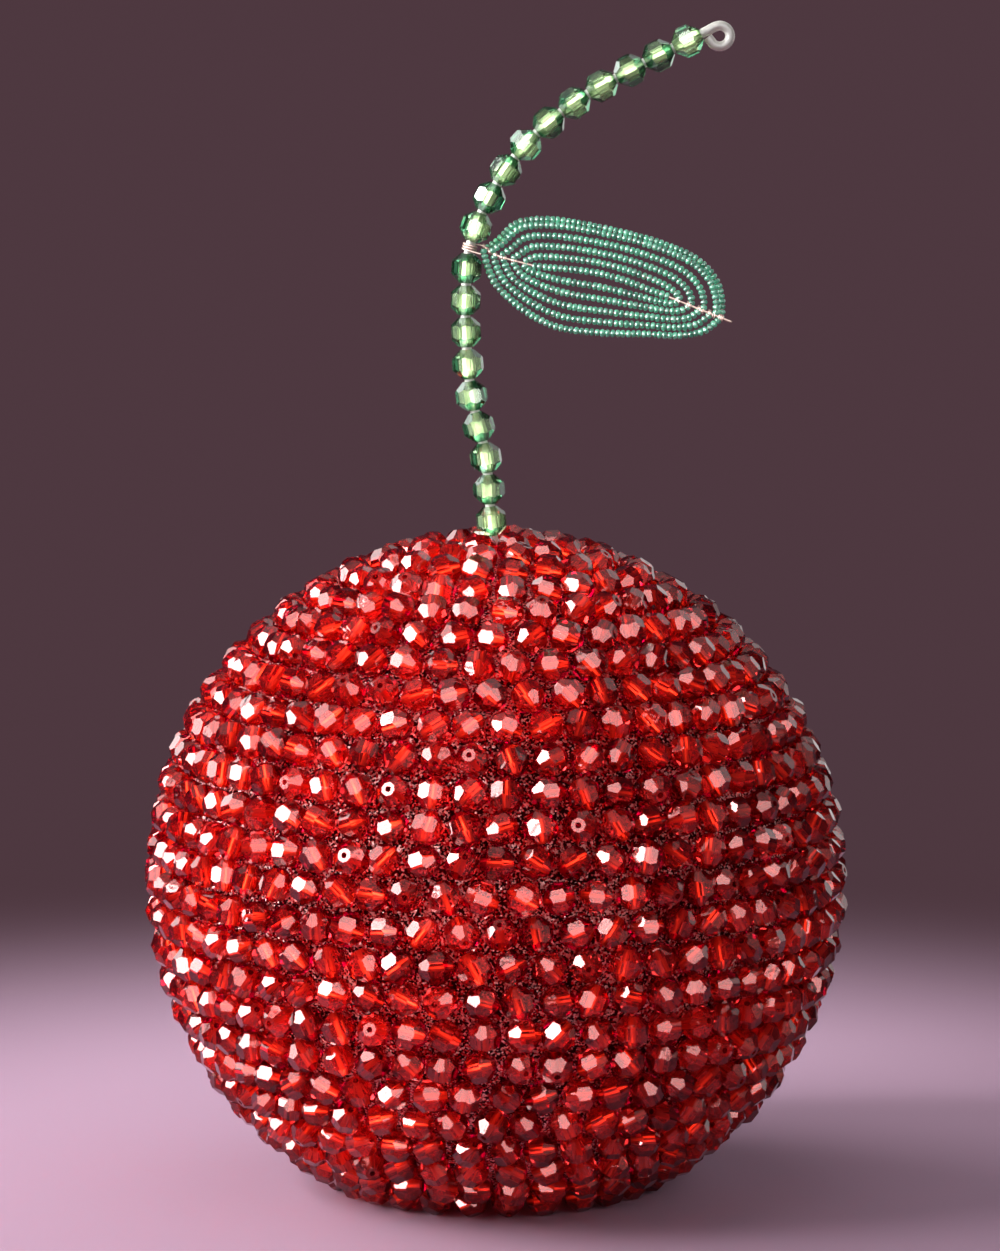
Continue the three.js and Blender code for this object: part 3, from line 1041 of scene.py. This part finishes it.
class CHERRY_OT_ball(bpy.types.Operator):
    """Builds the foam ball and its coat of glue and glitter."""

    bl_idname = "cherry.build_ball"
    bl_label = "Ball"

    def arc(self, radius, top_out, height):
        """Profile points of a sphere, from the hole at the top to the flat base."""
        first = math.asin(top_out / radius)
        last = math.acos(-height / radius)
        angles = [first + (last - first) * i / ARC_STEPS for i in range(ARC_STEPS + 1)]
        return [(radius * math.sin(a), height + radius * math.cos(a)) for a in angles]

    def execute(self, context):
        ball = context.scene.cherry_ball
        height = centre_height(ball)
        inner = ball.coat_radius - ball.coat_thickness
        skin = self.arc(inner - 0.0001, ball.hole_radius, height)
        floor = height + ball.coat_radius - ball.hole_depth
        profile = [(0, floor), (ball.hole_radius, floor), *skin, (0, 0)]
        core = add_object("foam_ball", lathed("foam_ball", profile, TURN_STEPS), foam_finish(ball))
        settle(core, "ball", ["foam_core"])
        outside = self.arc(ball.coat_radius, ball.hole_radius, height)
        inside = self.arc(inner, ball.hole_radius, height)
        mesh = lathed("glitter_skin", outside + inside[::-1], TURN_STEPS)
        coat = add_object("glitter_skin", mesh, glitter_finish(ball))
        settle(coat, "ball", ["glitter_coat"])
        return {"FINISHED"}


class CHERRY_OT_red_beads(bpy.types.Operator):
    """Glues the red beads round the ball in level rows."""

    bl_idname = "cherry.build_red_beads"
    bl_label = "Red beads"

    def execute(self, context):
        ball = context.scene.cherry_ball
        beads = context.scene.cherry_beads
        reach = ball.coat_radius + beads.diameter / 2
        height = centre_height(ball)
        bead = cut_bead("red_bead", beads.diameter, beads.bead_length, beads.bore)
        lowest = beads.diameter * 0.55 - height
        wall = (1.0, 0.62, 0.2)
        mirror = (1.0, 0.36, 0.34)
        # depth sets the strength of the painted shade on the beads' rims.
        material = clear_bead_finish(
            "Red acrylic", beads.shade, beads.bright, wall, mirror,
            lightness=0.2, depth=1.7, clearness=0.76,
        )
        values = {
            "Bead": bead,
            "Material": material,
            "Coat Radius": ball.coat_radius,
            "Centre Height": height,
            "First Angle": math.asin(beads.top_ring / reach),
            "Last Angle": math.acos(lowest / reach),
        }
        for label in ("Seed", "Rows", *BEAD_SIZES):
            values[label] = getattr(beads, label.lower().replace(" ", "_"))
        piece = ball_pattern().build("red_beads", mesh_of("start", []), values)
        bpy.data.objects.remove(bead)
        settle(piece, "ball", RED_ROWS)
        return {"FINISHED"}


class CHERRY_OT_stem_wire(bpy.types.Operator):
    """Bends the stem wire and closes its end to an eye."""

    bl_idname = "cherry.build_stem_wire"
    bl_label = "Stem wire"

    def eye(self, end, heading, stem):
        """A drop-shaped eye that comes back to where it left the bead."""
        inward = Matrix.Rotation(math.pi / 2, 3, "Y") @ heading
        top = end + heading * stem.eye_lead
        middle = top + inward * stem.eye_radius
        points = [end, end + heading * stem.eye_lead * 0.5]
        for turn in range(0, 271, 30):
            angle = math.radians(turn)
            out = heading * math.sin(angle) - inward * math.cos(angle)
            points.append(middle + out * stem.eye_radius)
        points.append(end + heading * stem.eye_lead * 0.27 + inward * stem.wire_diameter * 0.6)
        return SmoothPath(points)

    def execute(self, context):
        ball = context.scene.cherry_ball
        stem = context.scene.cherry_stem
        bend = stem_bend(ball)
        top = bend.at(0)
        path = [top - Vector((0, 0, stem.foot)), top - Vector((0, 0, stem.foot / 2))]
        path += bend.marks(STEM_STEPS)
        path += self.eye(bend.at(1), bend.heading(1), stem).marks(EYE_STEPS)[1:]
        material = coating_finish(stem)
        piece = wires("stem_rod", [path], stem.wire_diameter / 2, material, sides=16)
        settle(piece, "ball", ["stem_wire"])
        return {"FINISHED"}


class CHERRY_OT_stem_beads(bpy.types.Operator):
    """Threads the green beads on the stem, one piece for each."""

    bl_idname = "cherry.build_stem_beads"
    bl_label = "Stem beads"

    def execute(self, context):
        stem = context.scene.cherry_stem
        bead = cut_bead("green_bead", stem.bead_diameter, stem.bead_length, stem.bore)
        wall = (1.0, 1.0, 0.8)
        mirror = (0.88, 1.0, 0.92)
        # depth sets the strength of the painted shade on the beads' rims.
        material = clear_bead_finish(
            "Green acrylic", stem.glass_dark, stem.glass, wall, mirror,
            lightness=0.08, depth=1.9, clearness=0.78,
        )
        pattern = threaded_pattern()
        for number, joint in enumerate(STEM_JOINTS):
            name = joint["child"]
            piece = pattern.build("green_" + name, mesh_of("start", []), {
                "Bead": bead,
                "Seed": stem.seed + number,
                "Material": material,
                "Place": joint["pos_m"],
                "Heading": joint["axis"],
            })
            settle(piece, name, [name])
        bpy.data.objects.remove(bead)
        return {"FINISHED"}


class CHERRY_OT_leaf_beads(bpy.types.Operator):
    """Strings the leaf's seed beads."""

    bl_idname = "cherry.build_leaf_beads"
    bl_label = "Leaf beads"

    def execute(self, context):
        ball = context.scene.cherry_ball
        leaf = context.scene.cherry_leaf
        shape = LeafShape(ball, leaf)
        guides = shape.main_wire(context.scene.cherry_stem.wire_diameter / 2) + shape.tip_wire()
        strings = [shape.turned(path) for path in shape.strings(guides)]
        bead = seed_bead("seed_bead", leaf.bead_diameter, leaf.bead_length, leaf.bead_bore)
        piece = string_pattern().build("leaf_seed_beads", chains("strings", strings), {
            "Bead": bead,
            "Seed": leaf.seed,
            "Material": seed_finish(leaf),
            "Pitch": leaf.bead_pitch,
            "Slip": leaf.bead_pitch * 0.05,
            "Unevenness": 0.06,
        })
        bpy.data.objects.remove(bead)
        piece.data.shade_smooth()
        settle(piece, "leaf", LEAF_ROWS)
        return {"FINISHED"}


class CHERRY_OT_leaf_wires(bpy.types.Operator):
    """Winds the leaf's wire round the stem and folds it at the tip."""

    bl_idname = "cherry.build_leaf_wires"
    bl_label = "Leaf wires"

    def execute(self, context):
        ball = context.scene.cherry_ball
        leaf = context.scene.cherry_leaf
        shape = LeafShape(ball, leaf)
        main = shape.main_wire(context.scene.cherry_stem.wire_diameter / 2)
        start, end = shape.tip_ends()
        along = (end - start).normalized()
        radius = leaf.wire_diameter / 2
        spread = 1.25
        back = Vector((0, 1, 0)) * radius * spread
        ahead = along * radius * spread
        tip = [start - back, start.lerp(end, 0.5) - back]
        for turn in range(0, 181, 15):
            angle = math.radians(turn)
            tip.append(end - ahead + ahead * math.sin(angle) - back * math.cos(angle))
        tip += [end - along * leaf.overrun * 1.8 + back]
        material = copper_finish(leaf)
        thick = wires("leaf_wire_wound", [shape.turned(main)], radius, material, sides=10)
        settle(thick, "leaf", ["leaf_wire"])
        folded = wires("leaf_wire_folded", [shape.turned(tip)], radius, material, sides=10)
        settle(folded, "leaf", ["leaf_tip_wire"])
        thread = leaf.thread_diameter / 2
        both_legs = radius * 1.9
        straight = shape.tip_wire()
        paths = shape.strings(main + straight)
        threads = [paths[0]]
        for path in paths[1:]:
            near = wrapped(path[0], path[3], main[-LEAD_STEPS:], radius, thread)
            far = wrapped(path[-1], path[-4], straight, both_legs, thread)
            threads.append(near[::-1] + path[4:-4:3] + far)
        paths = [shape.turned(path) for path in threads]
        fine = wires("leaf_threads", paths, thread, material, sides=6)
        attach(fine, "leaf")
        return {"FINISHED"}


class CHERRY_OT_stage(bpy.types.Operator):
    """Makes the floor with its backdrop, the lights and the camera."""

    bl_idname = "cherry.build_stage"
    bl_label = "Stage"

    def sheet(self, stage):
        """A floor that curves up to a backdrop."""
        front = -4.0
        back = 1.2
        bend = 0.9
        top = 4.0
        steps = 24
        profile = [(front, 0.0)]
        for i in range(steps + 1):
            angle = math.pi / 2 * i / steps
            profile.append((back + bend * math.sin(angle), bend * (1 - math.cos(angle))))
        profile.append((back + bend, top))
        points = [(side, y, z) for y, z in profile for side in (-3.0, 3.0)]
        faces = [(2 * i, 2 * i + 1, 2 * i + 3, 2 * i + 2) for i in range(len(profile) - 1)]
        floor = add_object("floor", mesh_of("floor", points, (), faces), stage_finish(stage))
        smooth(floor.data)

    def lamp(self, name, energy, place, width, height):
        """A flat lamp facing the ball. A card is only seen mirrored and through clear beads."""
        light = bpy.data.lights.new(name, "AREA")
        light.energy = energy
        light.shape = "RECTANGLE"
        light.size = width
        light.size_y = height
        lamp = add_object(name, light)
        lamp.location = place
        facing = Vector(LAMP_AIM) - Vector(place)
        lamp.rotation_euler = facing.to_track_quat("-Z", "Y").to_euler()
        lamp.visible_diffuse = not name.endswith("card")

    def world(self, stage):
        """Even light all round, and the backdrop's colour wherever the surroundings are seen."""
        world = bpy.data.worlds.new("Studio")
        world.use_nodes = True
        bpy.context.scene.world = world
        graph = Graph(world.node_tree)
        graph.tree.nodes.clear()
        light = graph.node("ShaderNodeBackground", None, {"Color": [stage.ambient] * 3})
        glow = graph.node("ShaderNodeBackground", None, {"Color": stage.glow})
        both = graph.node("ShaderNodeMixShader", None, {0: graph.seen(), 1: light, 2: glow})
        graph.node("ShaderNodeOutputWorld", None, {"Surface": both}, None)

    def camera(self, stage):
        lens = bpy.data.cameras.new("camera")
        lens.sensor_width = SENSOR_SIZE
        lens.lens = stage.focal_length
        lens.clip_start = 0.05
        lens.clip_end = 50
        camera = add_object("camera", lens)
        camera.location = (stage.camera_side, -stage.camera_distance, stage.camera_height)
        camera.rotation_euler = (math.pi / 2 - stage.camera_tilt, 0, 0)
        bpy.context.scene.camera = camera

    def execute(self, context):
        stage = context.scene.cherry_stage
        self.sheet(stage)
        for name, form in LAMPS.items():
            self.lamp(name, getattr(stage, name.replace(" ", "_") + "_power"), *form)
        self.world(stage)
        self.camera(stage)
        context.scene.view_settings.view_transform = "Standard"
        return {"FINISHED"}


OPERATORS = (
    CHERRY_OT_ball,
    CHERRY_OT_red_beads,
    CHERRY_OT_stem_wire,
    CHERRY_OT_stem_beads,
    CHERRY_OT_leaf_beads,
    CHERRY_OT_leaf_wires,
    CHERRY_OT_stage,
)
SETTINGS = {
    "cherry_ball": CherryBall,
    "cherry_beads": CherryBeads,
    "cherry_stem": CherryStem,
    "cherry_leaf": CherryLeaf,
    "cherry_stage": CherryStage,
}


class CHERRY_PT_panel(bpy.types.Panel):
    """Lists the cherry's pieces and their sizes."""

    bl_label = "Beaded Cherry"
    bl_space_type = "VIEW_3D"
    bl_region_type = "UI"
    bl_category = "Cherry"

    def draw(self, context):
        for operator in OPERATORS:
            self.layout.operator(operator.bl_idname)
        for name, group in SETTINGS.items():
            box = self.layout.box()
            for label in group.__annotations__:
                box.prop(getattr(context.scene, name), label)


CLASSES = (*SETTINGS.values(), *OPERATORS, CHERRY_PT_panel)


def register():
    for kind in CLASSES:
        bpy.utils.register_class(kind)
    for name, group in SETTINGS.items():
        setattr(bpy.types.Scene, name, PointerProperty(type=group))


def unregister():
    for name in SETTINGS:
        delattr(bpy.types.Scene, name)
    for kind in reversed(CLASSES):
        bpy.utils.unregister_class(kind)


def main():
    register()
    bpy.ops.cherry.build_ball()
    bpy.ops.cherry.build_red_beads()
    bpy.ops.cherry.build_stem_wire()
    bpy.ops.cherry.build_stem_beads()
    bpy.ops.cherry.build_leaf_beads()
    bpy.ops.cherry.build_leaf_wires()
    bpy.ops.cherry.build_stage()
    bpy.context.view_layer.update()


if __name__ == "__main__":
    main()
